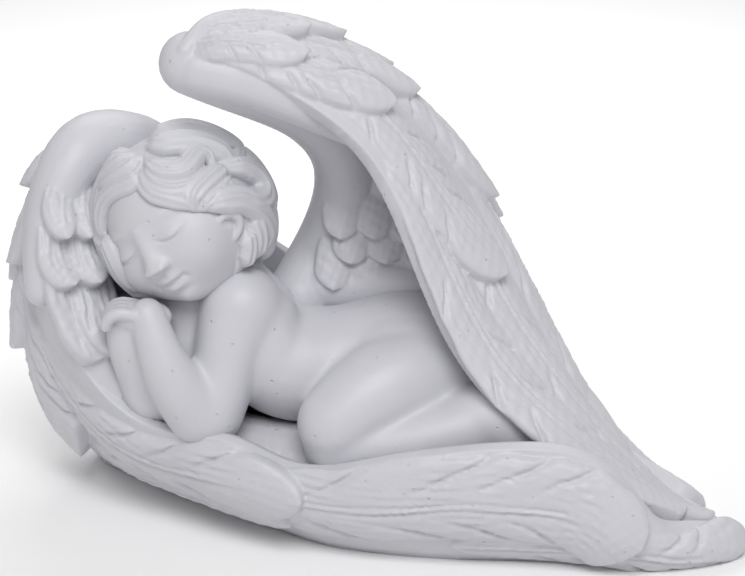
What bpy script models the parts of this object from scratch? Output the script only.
"""A sleeping cherub lying in the hollow of its own wings, cast in one piece of white resin.

The head lies at -X, the wings' tail points to +X, and the open front faces -Y.  The lower wing is a deep
cradle with a rolled head end; the upper wing rises behind the figure and arches over its back.
All shape points are in units of a two-hundredth of the ornament's length.
"""
import math

import bpy
import bmesh
import numpy as np
from mathutils import Matrix, Vector

for old in list(bpy.data.objects):
    bpy.data.objects.remove(old)

# Driving sizes, in metres
LENGTH = 0.200          # head end to the tip of the tail feathers
RIM_WALL = 0.0055       # lower wing's wall at its rim
FLOOR_HEIGHT = 0.024    # floor of the hollow above the underside
WING_WALL = 0.0042      # upper wing's thickness at its free edges
ROOT_WALL = 0.010       # extra thickness of the upper wing where it meets the back
FEATHER_RISE = 0.0042   # how far a covert's tip stands off the feather under it
FEATHER_CROWN = 0.0012  # how far a feather's middle stands above its edges
LOCK_HEIGHT = 0.0028    # height of a lock of hair
UNDERSIDE_CUT = 0.0004  # depth trimmed flat off the underside
GRAIN = 0.0009          # spacing of the lattice that fuses the forms
FACETS = 9300           # triangles of the finished solid

UNIT = LENGTH / 200
SHADE = (0.79, 0.79, 0.81, 1.0)


# Smooth lines and sheets through a few points

def spline_net(points, axis, closed):
    """control points of the cubic spline that passes through the points"""
    count = points.shape[axis]
    rule = np.zeros((count, count))
    for i in range(count):
        rule[i, i] = 2 / 3
        if closed or 0 < i < count - 1:
            rule[i, i - 1] += 1 / 6
            rule[i, (i + 1) % count] += 1 / 6
        else:
            rule[i, i] = 1
    solved = np.tensordot(np.linalg.inv(rule), np.moveaxis(points, axis, 0), 1)
    return np.moveaxis(solved, 0, axis)


def padded(net, axis, closed):
    first, second = np.take(net, [0], axis), np.take(net, [1], axis)
    last, before = np.take(net, [-1], axis), np.take(net, [-2], axis)
    if closed:
        return np.concatenate([last, net, first, second], axis)
    return np.concatenate([2 * first - second, net, 2 * last - before, 3 * last - 2 * before], axis)


def spline_weights(t):
    return np.stack([(1 - t) ** 3 / 6, (3 * t ** 3 - 6 * t ** 2 + 4) / 6,
                     (-3 * t ** 3 + 3 * t ** 2 + 3 * t + 1) / 6, t ** 3 / 6], -1)


def spline_slopes(t):
    return np.stack([-(1 - t) ** 2 / 2, (3 * t ** 2 - 4 * t) / 2,
                     (-3 * t ** 2 + 2 * t + 1) / 2, t ** 2 / 2], -1)


class Sheet:
    """a smooth sheet through rows of points; a runs along the rows' order, b along each row"""

    def __init__(self, rows, closed=False):
        points = np.asarray(rows, float)
        self.rows, self.columns = points.shape[:2]
        self.closed = closed
        net = spline_net(spline_net(points, 0, closed), 1, False)
        self.net = padded(padded(net, 0, closed), 1, False)

    def mixed(self, a, b, along_a, along_b):
        if self.closed:
            a = np.mod(a, self.rows)
            i = np.clip(np.floor(a).astype(int), 0, self.rows - 1)
        else:
            a = np.clip(a, -0.3, self.rows - 0.7)
            i = np.clip(np.floor(a).astype(int), 0, self.rows - 2)
        b = np.clip(b, -0.3, self.columns - 0.7)
        j = np.clip(np.floor(b).astype(int), 0, self.columns - 2)
        wa, wb = along_a(a - i), along_b(b - j)
        return sum(wa[..., k, None] * wb[..., m, None] * self.net[i + k, j + m]
                   for k in range(4) for m in range(4))

    def at(self, a, b):
        return self.mixed(a, b, spline_weights, spline_weights)

    def frame(self, a, b):
        along = self.mixed(a, b, spline_slopes, spline_weights)
        across = self.mixed(a, b, spline_weights, spline_slopes)
        return along, across, unit(np.cross(along, across))


def unit(v):
    return v / np.maximum(np.linalg.norm(v, axis=-1, keepdims=True), 1e-9)


def through(points, t, closed=False):
    """places on the smooth line through the points, t from 0 to 1"""
    points = np.asarray(points, float)
    net = padded(spline_net(points, 0, closed), 0, closed)
    spans = len(points) if closed else len(points) - 1
    a = np.asarray(t, float) * spans
    i = np.clip(np.floor(a).astype(int), 0, spans - 1)
    w = spline_weights(a - i)
    return sum(w[:, k, None] * net[i + k] for k in range(4))


def move(verts, places):
    for vert, place in zip(verts, places):
        vert.co = place


# Forms that the casting is fused from

def added(bm, shape):
    """puts a finished shape into a group of shapes"""
    mesh = bpy.data.meshes.new("shape")
    shape.to_mesh(mesh)
    shape.free()
    bm.from_mesh(mesh)
    bpy.data.meshes.remove(mesh)


def ball(shape, centre, radii, detail=2):
    place = Matrix.LocRotScale(Vector(centre), None, Vector(radii))
    bmesh.ops.create_icosphere(shape, subdivisions=detail, radius=1.0, matrix=place)


def limb(bm, path, deep=1.0, step=0.3):
    """a rounded limb: balls along a smooth line of (x, y, z, radius)"""
    path = np.asarray(path, float)
    reach = np.linalg.norm(np.diff(path[:, :3], axis=0), axis=1).sum()
    count = max(4, int(reach / (step * path[:, 3].min())))
    shape = bmesh.new()
    for x, y, z, r in through(path, np.linspace(0, 1, count)):
        ball(shape, (x, y, z), (r, r * deep, r))
    added(bm, shape)


def strip(around, along):
    """a ball read as a strip: for each vertex the place along it, across it, and which face it is on"""
    shape = bmesh.new()
    bmesh.ops.create_uvsphere(shape, u_segments=around, v_segments=along, radius=1.0)
    co = np.array([v.co for v in shape.verts])
    along_it = np.arccos(np.clip(-co[:, 2], -1, 1)) / math.pi
    turn = np.arctan2(co[:, 1], co[:, 0])
    across = 1 - 2 * np.abs(turn) / math.pi
    across[np.hypot(co[:, 0], co[:, 1]) < 1e-6] = 0
    return shape, along_it, across, turn >= 0


def on_sheet(sheet, spine):
    """lays a strip on a sheet, along a line of (a, b) places"""
    spine = np.asarray(spine, float)
    step = 0.01

    def place(s, x):
        a, b = through(spine, s).T
        ahead = through(spine, np.clip(s + step, 0, 1)) - through(spine, np.clip(s - step, 0, 1))
        along, across, normal = sheet.frame(a, b)
        forward = unit(along * ahead[:, :1] + across * ahead[:, 1:])
        side = unit(np.cross(normal, forward))
        g11, g12, g22 = (along ** 2).sum(1), (along * across).sum(1), (across ** 2).sum(1)
        r1, r2 = (side * along).sum(1), (side * across).sum(1)
        scale = np.maximum(g11 * g22 - g12 ** 2, 1e-9)
        a = a + (r1 * g22 - r2 * g12) / scale * x
        b = b + (g11 * r2 - g12 * r1) / scale * x
        return sheet.at(a, b), sheet.frame(a, b)[2]
    return place


def on_line(points, facing):
    """lays a strip along a line in space, its upper face turned to facing"""
    def place(s, x):
        step = 0.01
        centre = through(points, s)
        forward = unit(through(points, np.clip(s + step, 0, 1)) - through(points, np.clip(s - step, 0, 1)))
        normal = through(facing, s) if np.ndim(facing) > 1 else np.broadcast_to(facing, centre.shape)
        normal = unit(normal - forward * (normal * forward).sum(1, keepdims=True))
        return centre + np.cross(normal, forward) * x[:, None], normal
    return place


def feather(bm, place, half_width, rise, tip=0.22, root=0.55, crown=FEATHER_CROWN / UNIT, sunk=1.5):
    """one feather: narrow at its root, rounded at its tip, standing off the surface towards the tip"""
    shape, s, t, top = strip(16, 20)
    body = root + (1 - root) * np.sin(np.clip(s * 2, 0, 1) * math.pi / 2)
    end = np.clip((s - 1 + tip) / tip, 0, 1)
    width = half_width * body * np.sqrt(np.clip(s / 0.05, 0, 1)) * np.sqrt(1 - end ** 2)
    edge = np.sqrt(1 - np.abs(t) ** 3)
    above = (0.3 + rise * s ** 1.2) * (0.25 + 0.75 * edge) + crown * (1 - t ** 2)
    height = np.where(top, above, -sunk * edge)
    centre, normal = place(s, t * width)
    move(shape.verts, centre + normal * height[:, None])
    added(bm, shape)


# Lower wing: a cradle.  Each row is the wall's foot, its belly and its rim, going round clockwise from the
# tail along the front, round the head end and back along the rear
CRADLE = [
    ((93, -29, 0), (95.5, -30, 4), (93, -30, 8)),
    ((87, -37, 0), (90, -40, 5), (86, -38, 10)),
    ((72, -42.5, 0), (77, -46, 8), (75, -45, 14.5)),
    ((57, -41, 0), (61, -47.5, 13.5), (63, -46.5, 28)),
    ((40, -38, 0), (43, -46, 14.5), (46, -46, 35)),
    ((20, -37, 0), (21, -44.5, 14.5), (22, -45.5, 34)),
    ((0, -33, 0), (0, -41, 12.5), (0, -43, 29.7)),
    ((-15, -26.5, 0), (-18, -36, 13), (-20, -36, 25)),
    ((-31, -13, 0), (-36, -27, 13.5), (-37, -30, 30)),
    ((-47, 1, 0), (-54, -13, 13), (-54, -22, 30)),
    ((-59, 11, 0), (-69, -3, 15), (-67, -17, 34)),
    ((-69, 20, 0), (-80.5, 7, 20), (-77.5, -12, 44)),
    ((-76, 27, 0), (-89.5, 11.5, 30), (-85, -8, 60)),
    ((-78, 33, 0), (-93.2, 16.5, 46), (-88, -2, 78)),
    ((-76, 38, 0), (-92.8, 25, 62), (-84.5, 6, 95)),
    ((-70, 42, 0), (-88, 38, 70), (-76, 15, 103)),
    ((-60, 45, 0), (-75, 47, 62), (-63, 27, 99)),
    ((-46, 46, 0), (-55, 51, 48), (-49, 36, 84)),
    ((-28, 45, 0), (-33, 50, 36), (-32, 41, 66)),
    ((-9, 41, 0), (-11, 47, 30), (-13, 42, 54)),
    ((12, 33, 0), (14, 40, 24), (11, 37, 44)),
    ((35, 19, 0), (37, 25, 18), (34, 23, 30)),
    ((58, 3, 0), (60, 7, 12), (57, 5, 20)),
    ((78, -12, 0), (80, -10, 7), (77, -11, 12)),
]
HOLLOW = np.array([(-60.0, 12.0), (85.0, -30.0)])   # the line that the hollow's floor follows
ROUND_STEPS = 220
RING_STEPS = 7
cradle_wall = Sheet(CRADLE, closed=True)


def grid(bm, across, along):
    """a flat grid whose vertices are read as u and v from 0 to 1"""
    verts = bmesh.ops.create_grid(bm, x_segments=across, y_segments=along, size=1.0)["verts"]
    co = np.array([v.co for v in verts])
    return verts, (co[:, 0] + 1) / 2, (co[:, 1] + 1) / 2


def arc(foot, pull, head):
    """rings on the curve from foot to head that leans towards pull"""
    return [(1 - t) ** 2 * foot + 2 * t * (1 - t) * pull + t * t * head
            for t in np.linspace(0, 1, RING_STEPS)]


def cradle_rings():
    """the cradle's rings, from its foot up over the rim and down to the floor"""
    a = np.linspace(0, len(CRADLE), ROUND_STEPS + 1)
    foot, belly, rim = (cradle_wall.at(a, np.full_like(a, b)) for b in (0.0, 1.0, 2.0))
    along = cradle_wall.frame(a, np.full_like(a, 2.0))[0]
    inward = unit(np.stack([along[:, 1], -along[:, 0], 0 * a], 1))
    run = HOLLOW[1] - HOLLOW[0]
    share = np.clip((rim[:, :2] - HOLLOW[0]) @ run / (run @ run), 0, 1)
    middle = HOLLOW[0] + share[:, None] * run
    room = np.linalg.norm(rim[:, :2] - middle, axis=1)
    wall = np.minimum(RIM_WALL / UNIT, 0.45 * room)[:, None]
    floor = np.minimum(FLOOR_HEIGHT / UNIT, rim[:, 2] - 3)
    inner_rim = rim + inward * wall
    inner_belly = belly + inward * wall * 1.5
    inner_belly[:, 2] = np.minimum(inner_belly[:, 2], (inner_rim[:, 2] + floor) / 2)
    edge = np.column_stack([inner_belly[:, :2] * 0.62 + middle * 0.38, floor])
    foot = foot - (0, 0, UNDERSIDE_CUT / UNIT)
    rings = arc(foot, 2 * belly - (foot + rim) / 2, rim)
    rings.append(rim + inward * wall / 2 + (0, 0, 0.9))
    rings += arc(inner_rim, inner_belly, edge)
    rings.append(np.column_stack([(edge[:, :2] + middle) / 2, floor]))
    return np.array(rings)


def cradle(bm):
    rings = cradle_rings()
    verts, u, v = grid(bm, ROUND_STEPS, len(rings) - 1)
    ring = np.rint(v * (len(rings) - 1)).astype(int)
    step = np.rint(u * ROUND_STEPS).astype(int)
    move(verts, rings[ring, step])
    bmesh.ops.remove_doubles(bm, verts=verts, dist=0.01)
    rims = [e for e in bm.edges if e.is_boundary]
    bmesh.ops.holes_fill(bm, edges=rims, sides=0)


# Feathers of the lower wing: (place along the wall, height on it) from root to tip, half width, rise as a
# share of FEATHER_RISE, share of the length that is the rounded tip
LOWER_FEATHERS = [
    # head end, hanging from the roll
    ([(14.4, 2.0), (13.8, 1.7), (13.3, 1.4)], 6.0, 1.3, 0.3),
    ([(15.6, 1.9), (14.9, 1.7), (14.2, 1.5)], 6.5, 1.3, 0.3),
    ([(15.0, 1.7), (14.2, 1.4), (13.5, 1.1)], 7.0, 1.3, 0.25),
    ([(14.2, 1.4), (13.5, 1.2), (12.8, 0.95)], 8.0, 1.6, 0.25),
    # open front, from the tail to the head
    ([(5.0, 0.45), (3.4, 0.5), (1.6, 0.65), (0.1, 0.85)], 7.5, 0.6, 0.12),
    ([(8.4, 1.2), (6.6, 1.25), (4.8, 1.3), (3.5, 1.25), (2.45, 1.0)], 12.5, 0.9, 0.14),
    ([(11.6, 0.85), (10.0, 0.75), (8.6, 0.7), (7.2, 0.75)], 7.0, 0.35, 0.2),
    ([(12.2, 1.5), (10.5, 1.45), (8.7, 1.4), (6.9, 1.45)], 9.0, 0.9, 0.18),
    ([(14.2, 1.3), (13.0, 1.2), (12.0, 1.0), (10.8, 0.8)], 11.0, 1.1, 0.25),
    # rear, from the tail to the head
    ([(18.2, 1.0), (20.0, 1.0), (21.8, 1.0), (23.4, 1.0)], 11.0, 0.6, 0.13),
    ([(16.0, 1.0), (17.3, 1.0), (18.5, 0.95), (20.0, 0.9)], 14.0, 0.9, 0.18),
    ([(14.2, 1.0), (15.4, 1.1), (16.4, 1.1), (17.6, 1.05)], 14.0, 1.1, 0.22),
    ([(15.2, 1.8), (16.2, 1.75), (17.4, 1.65), (18.6, 1.5)], 8.0, 1.2, 0.22),
    ([(13.6, 0.9), (14.4, 0.7), (15.3, 0.5)], 11.0, 1.0, 0.25),
]
ROLL = [(-50, 38, 79, 6), (-60, 30, 91.5, 8), (-68, 22, 97, 9), (-76, 15, 98, 9.5), (-82, 8, 93, 8.5),
        (-86, 3, 84, 7.2), (-88, -1, 74, 6), (-89, -4, 64, 4.5)]
ROLL_FILLING = [(-76, 16, 84, 9), (-80, 9, 72, 9), (-80, 3, 58, 9), (-74, -4, 44, 8), (-66, -8, 34, 6)]
BACK_FILLING = [(-64, 22, 42, 12), (-48, 28, 44, 14), (-30, 28, 40, 14), (-10, 26, 36, 13),
                (12, 20, 30, 10)]
TAIL_FILLING = [(30, 10, 36, 12), (42, 2, 33, 12), (52, -8, 28, 11), (63, -15, 20, 7)]   # behind the feet
FLOOR_FILLING = [(-40, -6, 16, 13), (-28, -9, 14, 14), (-10, -13, 12, 15)]               # under the chest
# Coverts inside the roll: root, middle and tip, facing, half width, rise
ROLL_COVERTS = [
    ([(-84, -2, 74), (-80, -6, 60), (-74, -12, 46)], (0.75, -0.6, 0.3), 8, 0.3),
    ([(-78, 3, 74), (-74, -5, 60), (-69, -12, 48)], (0.6, -0.75, 0.3), 7, 0.3),
    ([(-84, 0, 84), (-84, -5, 74), (-80, -8, 66)], (0.6, -0.75, 0.2), 6.2, 0.4),
    ([(-77, 4, 84), (-76.5, -2, 74), (-73, -6, 66)], (0.4, -0.85, 0.2), 5.6, 0.4),
    ([(-83, 2, 92), (-83.5, -3.5, 86), (-81.5, -6, 79)], (0.4, -0.85, 0.2), 4.6, 0.5),
    ([(-77, 6, 92), (-77.5, 0, 85), (-75.5, -3.5, 78)], (0.3, -0.9, 0.2), 4.4, 0.5),
]


def lower_wing(bm):
    cradle(bm)
    limb(bm, ROLL)
    for path in (ROLL_FILLING, BACK_FILLING, TAIL_FILLING, FLOOR_FILLING):
        limb(bm, path)
    rise = FEATHER_RISE / UNIT
    for spine, half_width, share, tip in LOWER_FEATHERS:
        feather(bm, outward(cradle_wall, on_sheet(cradle_wall, spine)), half_width, rise * share, tip)
    for spine, facing, half_width, share in ROLL_COVERTS:
        feather(bm, on_line(spine, facing), half_width, rise * share, tip=0.4, root=0.8, sunk=3.0)


def outward(sheet, place):
    """turns the strip's face away from the inside of the ornament"""
    middle = sheet.at(np.array([sheet.rows / 2]), np.array([1.0]))
    facing = sheet.frame(np.array([sheet.rows / 2]), np.array([1.0]))[2]
    turn = 1.0 if ((middle - INSIDE) * facing).sum() > 0 else -1.0

    def turned(s, x):
        centre, normal = place(s, x)
        return centre, normal * turn
    return turned


# Upper wing: a sheet arched over the figure.  Each row is its near edge, shoulder, crest, back shoulder, low
# back and base; the rows run from the head end to the tail
INSIDE = np.array([0.0, 0.0, 45.0])
WING = [
    ((-51, -9, 126.5), (-52, -4, 131), (-50, 4, 130.5), (-33, 14, 120), (-10, 21, 90), (-17, 29, 54)),
    ((-40, -13, 130), (-39, -5, 135.3), (-38, 6, 135.3), (-24, 23, 126.5), (-4, 31, 92), (-11, 38, 50)),
    ((-20, -15, 121), (-18, -4, 129), (-15, 10, 128.5), (-6, 28, 117), (6, 37, 84), (-1, 42, 42)),
    ((-1, -18, 106), (3.5, -4, 115), (7.5, 13, 114), (12.5, 30, 97.5), (20, 37, 66), (14, 38, 34)),
    ((12, -24, 82), (18.5, -8, 90.5), (24, 11, 93.5), (29, 27, 74), (35, 31, 50), (33, 29, 24)),
    ((27, -31, 52), (34.5, -16, 61.5), (40.5, 2, 64.5), (43.5, 17, 50), (49, 20, 33), (50, 17, 15)),
    ((50, -38, 31), (54.5, -24, 35), (57.5, -8, 33.2), (60.5, 2, 24), (66, 4, 17), (67, 1, 8)),
    ((74, -37, 14), (76.5, -30, 13), (77.2, -21, 10.7), (79, -14, 7), (84, -12, 5), (85, -14, 3)),
    ((95, -31, 4), (96, -30, 4.5), (96.5, -29, 4), (96.5, -27, 3), (96, -26, 2), (95.5, -26, 1)),
]
# share of ROOT_WALL added to WING_WALL, for each point of WING
WING_FILL = [
    (0.0, 0.0, 0.0, 0.0, 0.2, 0.4),
    (0.0, 0.0, 0.0, 0.0, 0.6, 0.8),
    (0.0, 0.0, 0.1, 0.4, 1.1, 1.0),
    (0.0, 0.0, 0.1, 0.5, 1.1, 0.8),
    (0.0, 0.0, 0.1, 0.3, 0.6, 0.4),
    (0.1, 0.1, 0.1, 0.1, 0.1, 0.1),
    (0.0, 0.0, 0.0, 0.0, 0.0, 0.0),
    (-0.1, -0.1, -0.1, -0.1, -0.2, -0.2),
    (-0.2, -0.2, -0.2, -0.2, -0.3, -0.3),
]
wing_sheet = Sheet(WING)
wing_fill = Sheet([[(share, 0, 0) for share in row] for row in WING_FILL])
# Feathers of the upper wing, long flight feathers first and the shortest coverts last
UPPER_FEATHERS = [
    ([(3.2, 0.35), (4.6, 0.35), (6.0, 0.35), (7.3, 0.6)], 8.5, 0.55, 0.12),
    ([(3.4, 1.15), (5.0, 1.15), (6.4, 1.2), (7.7, 1.6)], 8.0, 0.6, 0.12),
    ([(3.4, 2.0), (5.0, 2.0), (6.4, 2.2), (7.7, 2.6)], 7.5, 0.6, 0.12),
    ([(3.2, 3.0), (4.8, 3.0), (6.2, 3.1), (7.3, 3.3)], 8.0, 0.6, 0.12),
    ([(2.8, 3.9), (4.4, 3.9), (5.8, 3.9), (6.8, 4.0)], 8.5, 0.6, 0.12),
    ([(2.2, 4.7), (3.6, 4.7), (5.0, 4.7), (6.0, 4.7)], 8.0, 0.55, 0.12),
    ([(2.1, 0.6), (3.1, 0.65), (4.0, 0.85), (4.8, 1.2)], 8.2, 1.0, 0.2),
    ([(2.3, 1.6), (3.2, 1.75), (4.35, 2.1)], 6.5, 0.9, 0.2),
    ([(2.3, 2.4), (3.2, 2.45), (4.3, 2.7)], 6.5, 0.9, 0.2),
    ([(2.0, 3.2), (3.0, 3.25), (4.0, 3.3)], 8.0, 0.9, 0.2),
    ([(1.8, 4.0), (2.6, 4.05), (3.5, 4.05)], 8.0, 0.8, 0.2),
    ([(1.2, 4.7), (2.2, 4.7), (3.0, 4.7)], 7.5, 0.75, 0.2),
    ([(1.0, 0.42), (2.0, 0.5), (3.0, 0.85)], 6.2, 1.15, 0.25),
    ([(1.1, 1.2), (2.0, 1.35), (3.15, 1.65)], 5.8, 1.05, 0.2),
    ([(1.2, 2.2), (2.0, 2.2), (2.7, 2.3)], 5.8, 1.0, 0.22),
    ([(1.4, 2.75), (2.2, 2.7), (3.2, 2.75)], 5.5, 1.0, 0.22),
    ([(0.9, 3.3), (1.6, 3.4), (2.5, 3.45)], 7.5, 0.95, 0.22),
    ([(0.6, 4.1), (1.3, 4.1), (2.1, 4.15)], 7.5, 0.9, 0.22),
    ([(0.5, 0.4), (1.2, 0.52), (2.0, 0.7)], 5.2, 1.25, 0.28),
    ([(0.5, 1.15), (1.2, 1.25), (1.95, 1.4)], 4.6, 1.3, 0.25),
    ([(0.5, 1.9), (1.2, 1.95), (2.2, 2.1)], 5.0, 1.2, 0.25),
    ([(0.2, 2.8), (0.9, 2.85), (1.6, 2.9)], 5.6, 1.1, 0.25),
    ([(0.15, 3.5), (0.6, 3.6), (1.2, 3.7)], 6.6, 1.0, 0.3),
    ([(0.1, 4.4), (0.5, 4.4), (1.0, 4.4)], 6.6, 0.9, 0.3),
]
# The wing's arm bone: a rounded crescent behind the head, with filling under its coverts
ARM = [(-47.5, -4, 127, 8.5), (-38.5, -1, 123.5, 9.5), (-27.5, 5, 118, 10), (-17, 10, 110.5, 9.5),
       (-9.5, 15, 100, 9), (-7.5, 19, 88, 8.5), (-10, 22, 75, 8.5), (-15, 22, 63, 9), (-20, 16, 54, 10)]
EDGE_FILLING = [(-45, -7, 126, 6.8), (-33, -8, 123.5, 6.8), (-22, -7.5, 118.5, 6), (-12, -5, 112, 4.5),
                (-4, -2, 106, 3)]
ARM_FILLING = [(2, 22, 102, 9), (3, 25, 86, 11), (4, 25, 70, 12), (6, 20, 56, 12)]
NOSE_RIDGE = [(-38, 4, 137, 2.2), (-43.5, -3, 136, 2.8), (-48.5, -9, 131.5, 2.4)]
ARCH_FOOT = [(-14, 15, 58, 7), (0, 14, 58, 7.5), (13, 11, 58, 8)]   # closes the coverts down onto the back
# Coverts under the arch, in columns from the crescent: the sheet that they lie on, then (across, down)
UNDER_ARCH = Sheet([
    [(-19, 15, 102), (-17.5, 13.5, 86), (-19, 12, 72), (-22, 9, 58)],
    [(-8, 13, 100), (-5, 13, 86), (-6, 12, 72), (-8, 10, 58)],
    [(6, 13, 98), (7, 14, 84), (6, 13, 71), (5, 11, 58)],
    [(17, 7, 92), (18, 10, 80), (18, 11, 68), (17, 9, 56)],
])
ARCH_COLUMNS = (0.75, 1.5, 2.25, 3.0)
ARCH_TIPS = (2.9, 2.4, 1.9)
ARCH_STAGGER = 0.3      # every second row is set over by this share of a column
ARCH_HALF_WIDTH = 5.6
ARCH_TUCK = 3.0         # how far the root of a covert is tucked under the row above


def upper_wing(bm):
    verts, u, v = grid(bm, 60, 44)
    under = bmesh.ops.extrude_face_region(bm, geom=[f for f in bm.faces if f.verts[0] in set(verts)],
                                          use_keep_orig=True)["geom"]
    a, b = u * (wing_sheet.rows - 1), v * (wing_sheet.columns - 1)
    below = {tuple(np.round(p.co, 5)): p for p in under if isinstance(p, bmesh.types.BMVert)}
    below = [below[tuple(np.round(p.co, 5))] for p in verts]
    skin, normal = wing_sheet.at(a, b), wing_sheet.frame(a, b)[2]
    normal *= 1.0 if ((skin - INSIDE) * normal).sum() > 0 else -1.0
    wall = WING_WALL / UNIT + ROOT_WALL / UNIT * wing_fill.at(a, b)[:, :1]
    move(verts, skin + normal * 0.3)
    move(below, skin - normal * np.maximum(wall, 0.8))
    for path in (ARM, ARM_FILLING, EDGE_FILLING, NOSE_RIDGE, ARCH_FOOT):
        limb(bm, path)
    rise = FEATHER_RISE / UNIT
    for spine, half_width, share, tip in UPPER_FEATHERS:
        feather(bm, outward(wing_sheet, on_sheet(wing_sheet, spine)), half_width, rise * share, tip)
    for row, tip_at in enumerate(ARCH_TIPS):
        for column in ARCH_COLUMNS:
            across = column + ARCH_STAGGER * (row % 2)
            spine = [(across, tip_at - 1.0), (across, tip_at - 0.5), (across, tip_at)]
            place = forward(on_sheet(UNDER_ARCH, spine))
            feather(bm, place, ARCH_HALF_WIDTH, rise * 0.5, tip=0.35, root=0.9, sunk=6.0)


def forward(place):
    """turns the strip's face to the open front and tucks its root in"""
    def turned(s, x):
        centre, normal = place(s, x)
        normal = normal * np.where(normal[:, 1:2] > 0, -1.0, 1.0)
        return centre - normal * ARCH_TUCK * (1 - s[:, None]) ** 1.5, normal
    return turned


# The cherub's body, asleep on its front with its knees drawn up and its hands under its cheek
TORSO = [(-31, -1, 48, 14.5), (-22, -1.5, 42.5, 16), (-8, 0, 41.5, 15.7), (6, 1, 43, 17.5),
         (17, -1, 43.3, 18.2), (25, -1, 42, 16.5)]
NECK = [(-32, 3, 54, 12), (-38, 3, 63, 10), (-44, 2, 72, 10)]
NEAR_ARM = [(-35, -9, 60.5, 11.6), (-38.5, -13, 50.5, 9.4), (-40.5, -15.5, 42, 8.9), (-43.5, -18, 34.5, 9.4)]
NEAR_FOREARM = [(-46, -18.5, 34.5, 9.4), (-51.5, -21, 42.5, 7.8), (-55.5, -21.5, 50.5, 6.4),
                (-58, -20, 57.5, 5.5), (-59.5, -18.5, 62, 5)]
FAR_ARM = [(-34, 12, 54, 10), (-46, 6, 40, 8), (-57, -8, 33, 7.5), (-61.5, -12, 42, 7),
           (-64.5, -14, 51, 6.2), (-65.5, -14.5, 59, 5.4)]
CHEST_FILLING = [(-40, 2, 60, 12), (-49, -1, 58, 9.5), (-50, -5, 48, 9)]
ARMPIT_FILLING = [(-30, -7, 56, 10.5), (-27, -8, 47, 11)]
HIP_FILLING = [(7, -7, 42.4, 15.8), (12, -6.5, 42.6, 16.6), (18, -5, 42.5, 17)]
THIGH = [(17, -9, 41.5, 14.5), (8, -15, 41.8, 14.2), (-1, -20.5, 39, 12.8), (-9.5, -25, 34, 10.8)]
CALF = [(-9, -25, 27.5, 9.5), (4, -27, 27.5, 9.6), (16, -27, 30, 9.6), (25, -26, 32.5, 9.6)]
FOOT = [(25, -25, 33.5, 9.4), (31, -25, 35, 9.8), (37, -26, 33, 9.2), (44, -27, 29, 7.8), (51, -28, 25, 6.5)]
FAR_THIGH = [(18, 16, 42, 14), (4, 20, 38, 12), (-10, 22, 32, 10)]
FAR_CALF = [(-10, 22, 30, 9), (15, 22, 30, 8), (34, 18, 30, 7)]
BODY_DEPTH = 1.12      # the trunk's depth for its height
PALM = ((-61, -16.5, 61), (8, 5.5, 4.4))
FINGER_COUNT = 4
FINGER_RADIUS = 1.75
FINGER_STEP = 2.7


def body(bm):
    limb(bm, TORSO, deep=BODY_DEPTH, step=0.2)
    arms = (NECK, CHEST_FILLING, ARMPIT_FILLING, NEAR_ARM, NEAR_FOREARM, FAR_ARM)
    legs = (HIP_FILLING, THIGH, CALF, FOOT, FAR_THIGH, FAR_CALF)
    for path in arms + legs:
        limb(bm, path)


def hand(bm):
    palm = bmesh.new()
    ball(palm, *PALM)
    added(bm, palm)
    for finger in range(FINGER_COUNT):
        y = -21 + FINGER_STEP * finger
        r = FINGER_RADIUS
        limb(bm, [(-62, y, 62.6, r), (-66.5, y - 0.4, 63.6, r),
                  (-69.5, y, 62, r * 0.95), (-70.5, y + 0.6, 59.4, r * 0.8)])


# The head, turned to the front and laid on its cheek
HEAD_AT = Vector((-50.5, 0, 82.8))
face_way = Vector((-0.483, -0.875, 0.043)).normalized()
side_way = face_way.cross(Vector((-0.46, 0.294, 0.838))).normalized()
crown_way = side_way.cross(face_way)
HEAD_TURN = np.array((side_way, face_way, crown_way))
SKULL = np.array((19.6, 21.4, 22.4))
HAIR = np.array((21.2, 22.8, 22.9))


def head_place(points):
    return points @ HEAD_TURN + np.array(HEAD_AT)


def dome(x, z, at, spread):
    return np.exp(-((x - at[0]) / spread[0]) ** 2 - ((z - at[1]) / spread[1]) ** 2)


def swell(ways, axis, degrees):
    axis = np.array(axis) / np.linalg.norm(axis)
    return np.exp(-(1 - ways @ axis) / (1 - math.cos(math.radians(degrees))))


def head(bm):
    verts = bmesh.ops.create_icosphere(bm, subdivisions=6, radius=1.0)["verts"]
    ways = unit(np.array([v.co for v in verts]))
    width = SKULL[0] - 2.2 * np.clip(-ways[:, 2] - 0.2, 0, 1)
    skin = ways * np.column_stack([width, 0 * width + SKULL[1], 0 * width + SKULL[2]])
    full = 1.2 * swell(ways, (0, 0.85, 0.5), 34) + 2.5 * swell(ways, (0, -0.95, 0.25), 40)
    full += 1.2 * swell(ways, (0, 0.62, -0.78), 16)
    for side in (-1, 1):
        full += 2.6 * swell(ways, (0.62 * side, 0.68, -0.42), 24)
    skin += ways * full[:, None]
    front = np.clip((ways[:, 1] - 0.2) / 0.3, 0, 1)
    skin += ways * (features(skin[:, 0], skin[:, 2]) * front)[:, None]
    move(verts, head_place(skin))


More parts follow.
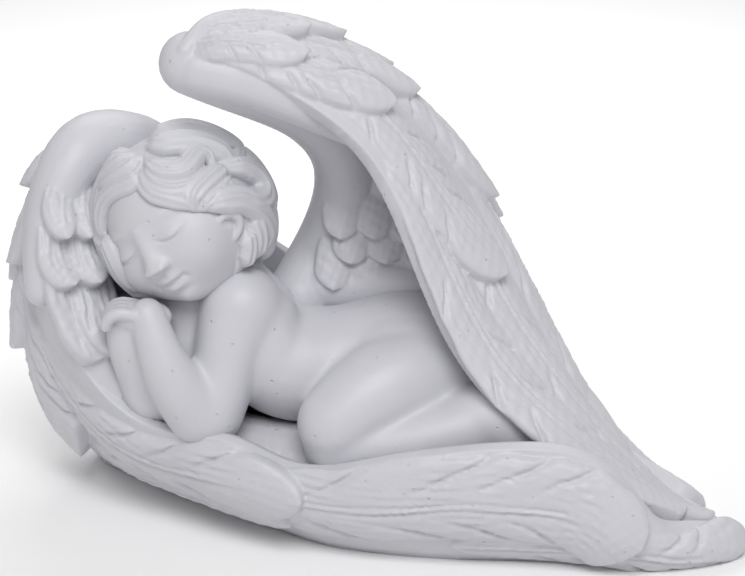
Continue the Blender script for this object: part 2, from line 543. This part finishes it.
def features(x, z):
    """closed eyes, nose, mouth and chin, as heights over the face"""
    lift = 0 * x
    for side in (-1, 1):
        eye = np.array((8.0 * side, -2.6))
        lift -= 1.3 * dome(x, z, eye + (-0.6 * side, 0.4), (5.0, 3.4))
        lift += 1.7 * dome(x, z, eye, (3.4, 2.3))
        lash = eye[1] - 1.6 + 0.075 * (x - eye[0]) ** 2
        lift -= 0.9 * np.exp(-((z - lash) / 0.5) ** 2 - ((x - eye[0]) / 4.0) ** 4)
        lift += 0.6 * dome(x, z, (8.5 * side, 3.0), (5.0, 1.6))
        lift += 1.5 * dome(x, z, (2.5 * side, -8.6), (1.3, 1.3))
        lift -= 0.6 * dome(x, z, (4.6 * side, -13.9), (0.8, 0.8))
    down = np.clip((1.5 - z) / 10, 0, 1)
    under_nose = np.where(z > -8.8, 1, np.exp(-((z + 8.8) / 1.1) ** 2))
    lift += (0.5 + 2.3 * down ** 1.7) * np.exp(-(x / (1.8 + 1.1 * down)) ** 2) * under_nose * (z < 3)
    lift += 1.0 * dome(x, z, (0, -8.1), (2.3, 1.8))
    lift += 1.2 * dome(x, z, (0, -12.8), (3.8, 1.15)) - 0.35 * dome(x, z, (0, -11.8), (0.7, 1.2))
    lift += 1.3 * dome(x, z, (0, -15.3), (3.0, 1.2))
    lift -= 1.0 * np.exp(-((z + 14.0 - 0.02 * x ** 2) / 0.45) ** 2 - (x / 3.9) ** 4)
    lift -= 0.7 * dome(x, z, (0, -17.0), (2.6, 0.9))
    lift += 1.0 * dome(x, z, (0, -19.0), (3.4, 2.0))
    return lift


# Locks of hair: path over the skull as (degrees round from the face, degrees up), half width, height as a
# share of LOCK_HEIGHT, and how far the lock's middle stands off the skull
FRONT_LOCKS = [
    ([(-24, 60), (7, 59), (35, 51), (50, 37), (52, 20), (46, 8), (34, 6)], 3.4, 0.9, 1.6),
    ([(-26, 56), (-11, 50), (7, 48), (26, 46), (42, 42)], 2.4, 0.85, 1.6),
    ([(-22, 42), (-14, 37), (2, 38), (19, 37), (33, 30), (40, 18), (40, 10)], 2.2, 0.8, 1.0),
    ([(-24, 48), (-23, 33), (-27, 22), (-36, 14), (-45, 5), (-50, -4)], 2.3, 0.7, 0.8),
    ([(-31, 56), (-33, 39), (-41, 30), (-52, 27), (-63, 31), (-72, 32), (-76, 26), (-71, 20)], 2.4, 1.1, 2.2),
    ([(-29, 49), (-28, 33), (-34, 22), (-43, 17), (-54, 17), (-64, 22)], 2.2, 0.85, 1.2),
    ([(-86, 18), (-72, 15), (-57, 12), (-47, 7), (-45, -2)], 2.4, 0.9, 1.6),
    ([(-84, 9), (-70, 4), (-57, 1), (-49, -4)], 1.9, 0.8, 1.2),
    ([(-35, 67), (-54, 54), (-73, 46), (-86, 36), (-92, 24), (-92, 13)], 3.6, 1.1, 2.4),
    ([(-42, 75), (-70, 67), (-100, 60), (-108, 46), (-113, 33), (-112, 22), (-98, 16)], 3.4, 1.1, 2.8),
    ([(-74, 20), (-92, 14), (-108, 6), (-113, -6), (-103, -14), (-90, -12), (-83, -5), (-88, 0)],
     2.9, 1.1, 2.6),
    ([(-49, -1), (-64, -3), (-80, -8), (-95, -18), (-108, -30), (-113, -42), (-112, -54)], 3.0, 1.1, 2.0),
    ([(-91, -17), (-95, -30), (-97, -43), (-94, -54)], 2.6, 0.9, 1.4),
    ([(-79, -30), (-82, -40), (-81, -50), (-76, -57)], 2.2, 0.8, 0.8),
    ([(38, 15), (33, 5), (36, -6), (44, -16), (46, -26), (38, -32)], 2.3, 0.8, 1.2),
    ([(46, 30), (56, 14), (58, -2), (58, -20), (52, -34), (42, -40)], 2.6, 0.9, 1.6),
    ([(0, 70), (60, 66), (78, 50), (82, 32), (76, 18)], 3.4, 1.0, 2.2),
    ([(70, 30), (80, 14), (80, -4), (72, -18), (64, -14)], 3.2, 1.0, 2.0),
    ([(78, 0), (84, -18), (80, -36), (70, -46)], 3.2, 0.9, 1.6),
]
# One column of locks on the back of the head, repeated round it, each lock curling at its tip
BACK_COLUMNS = (104, 136, 168, 200, 232)
BACK_COLUMN = [
    ([(2, 73), (4, 56), (0, 38), (-10, 28), (-16, 34)], 3.5, 1.0, 2.6),
    ([(2, 33), (6, 13), (0, -6), (-10, -14), (-16, -6)], 3.5, 1.05, 2.4),
    ([(0, -8), (4, -27), (-2, -45), (-12, -54)], 3.3, 0.9, 1.8),
]
# Ear: rim, inner fold and hollow, as (degrees round, degrees up, distance out, radius)
EAR_RIM = [(-56, -20, 19.6, 0.9), (-59, -15, 20.8, 1.1), (-66, -13, 21.4, 1.3), (-73, -17, 21.6, 1.35),
           (-75, -24, 21.2, 1.35), (-71, -31, 20.4, 1.3), (-64, -35, 19.6, 1.4), (-58, -35, 19.2, 1.2)]
EAR_FOLD = [(-66, -18, 19.6, 0.9), (-69, -24, 19.6, 1.0), (-64, -29, 19.3, 0.9)]
EAR_BOWL = (-65, -24, 18.0, 3.2)
LOCK_WIDEN = 1.4        # fullness of the locks, over the widths listed
LOCK_LIFT = 0.65        # how far they stand off the cap, over the distances listed


def head_ways(path):
    round_it, up = np.radians(np.asarray(path, float)[:, :2].T)
    return np.column_stack([np.sin(round_it) * np.cos(up), np.cos(round_it) * np.cos(up), np.sin(up)])


def hair_reach(ways):
    return 1 / np.sqrt(((ways / HAIR) ** 2).sum(1))


def lock(bm, path, half_width, height, off):
    shape, s, t, top = strip(12, 20)
    ways = head_ways(path)
    rise = np.sin(np.linspace(0.15, 0.9, len(ways)) * math.pi) * off * LOCK_LIFT - 0.4
    place = on_line(ways * (hair_reach(ways) + rise)[:, None], ways)
    half_width = LOCK_WIDEN * half_width
    width = half_width * np.clip(s / 0.22, 0, 1) ** 0.6 * np.clip((1 - s) / 0.35, 0, 1) ** 0.55
    tall = height * np.clip(s / 0.15, 0.25, 1) * np.sqrt(np.clip((1 - s) / 0.25, 0, 1))
    bow = np.sqrt(1 - t ** 2)
    centre, normal = place(s, t * np.maximum(width, 0.05))
    lift = np.where(top, tall * bow, -2.6 * bow * width / half_width)
    move(shape.verts, head_place(centre + normal * lift[:, None]))
    added(bm, shape)


def hair(bm):
    verts = bmesh.ops.create_icosphere(bm, subdivisions=4, radius=1.0)["verts"]
    ways = unit(np.array([v.co for v in verts]))
    out, up = ways[:, 1], ways[:, 2]
    reach = hair_reach(ways) - np.clip((out - 0.15) * 14, 0, 12) * (up < 0.55)
    reach += 0.7 * np.clip((up - 0.3) * 3, 0, 1) - 3 * np.clip(-up - 0.75, 0, 1)
    move(verts, head_place(ways * reach[:, None]))
    back = [([(turn + column, up) for turn, up in path], *sizes)
            for column in BACK_COLUMNS for path, *sizes in BACK_COLUMN]
    for path, half_width, share, off in FRONT_LOCKS + back:
        lock(bm, path, half_width, share * LOCK_HEIGHT / UNIT, off)


def ear(bm):
    for path in (EAR_RIM, EAR_FOLD):
        path = np.array(path)
        limb(bm, np.column_stack([head_place(head_ways(path) * path[:, 2:3]), path[:, 3]]))
    bowl = np.array([EAR_BOWL])
    shape = bmesh.new()
    ball(shape, head_place(head_ways(bowl) * bowl[:, 2:3])[0], [EAR_BOWL[3]] * 3)
    added(bm, shape)


# Casting: each group of forms is fused into one skin, then all the skins into one solid

def meshed(name, bm):
    mesh = bpy.data.meshes.new(name)
    bmesh.ops.recalc_face_normals(bm, faces=bm.faces)
    bm.to_mesh(mesh)
    bm.free()
    made = bpy.data.objects.new(name, mesh)
    bpy.context.scene.collection.objects.link(made)
    return made


def applied(made):
    """the object's mesh with its modifiers worked in"""
    bpy.context.view_layer.update()
    worked = bpy.data.meshes.new_from_object(made.evaluated_get(bpy.context.evaluated_depsgraph_get()))
    made.modifiers.clear()
    made.data = worked
    return made


def fused(made, spacing, smoothing):
    """one outer skin over every form in the mesh, softened"""
    skin = made.modifiers.new("fuse", "REMESH")
    skin.mode = "VOXEL"
    skin.voxel_size = spacing
    soft = made.modifiers.new("soften", "SMOOTH")
    soft.factor = 0.5
    soft.iterations = smoothing
    return applied(made)


def group(name, makers, spacing, smoothing):
    bm = bmesh.new()
    for maker in makers:
        maker(bm)
    return fused(meshed(name, bm), spacing, smoothing)


def outer_skin(bm):
    """keeps the largest connected skin and drops the ones closed up inside it"""
    left, skins = set(bm.verts), []
    while left:
        edge, skin = [left.pop()], []
        while edge:
            vert = edge.pop()
            skin.append(vert)
            for near in vert.link_edges:
                other = near.other_vert(vert)
                if other in left:
                    left.remove(other)
                    edge.append(other)
        skins.append(skin)
    skins.sort(key=len)
    bmesh.ops.delete(bm, geom=[vert for skin in skins[:-1] for vert in skin], context="VERTS")


spacing = GRAIN / UNIT
groups = [
    group("flesh", (body,), spacing, 24),
    group("hands", (hand,), spacing * 0.6, 2),
    group("face", (head, ear), spacing * 0.5, 1),
    group("locks", (hair,), spacing * 0.6, 1),
    group("wings", (lower_wing, upper_wing), spacing * 0.8, 2),
]
bm = bmesh.new()
for piece in groups:
    bm.from_mesh(piece.data)
    bpy.data.objects.remove(piece)
figurine = fused(meshed("angel_figurine", bm), spacing * 0.7, 2)
thin = figurine.modifiers.new("thin out", "DECIMATE")
thin.ratio = FACETS / (2 * len(figurine.data.polygons))
applied(figurine)

bm = bmesh.new()
bm.from_mesh(figurine.data)
outer_skin(bm)
bmesh.ops.bisect_plane(bm, geom=bm.verts[:] + bm.edges[:] + bm.faces[:], dist=1e-4,
                       plane_co=(0, 0, 0), plane_no=(0, 0, -1), clear_outer=True)
bmesh.ops.holes_fill(bm, edges=[edge for edge in bm.edges if edge.is_boundary], sides=0)
bmesh.ops.triangulate(bm, faces=bm.faces)
bmesh.ops.scale(bm, vec=(UNIT, UNIT, UNIT), verts=bm.verts)
bmesh.ops.recalc_face_normals(bm, faces=bm.faces)
bm.to_mesh(figurine.data)
bm.free()

resin = bpy.data.materials.new("white cast resin")
resin.use_nodes = True
shader = resin.node_tree.nodes["Principled BSDF"]
shader.inputs["Base Color"].default_value = SHADE
shader.inputs["Roughness"].default_value = 0.5
figurine.data.materials.clear()
figurine.data.materials.append(resin)
figurine.data.shade_smooth()
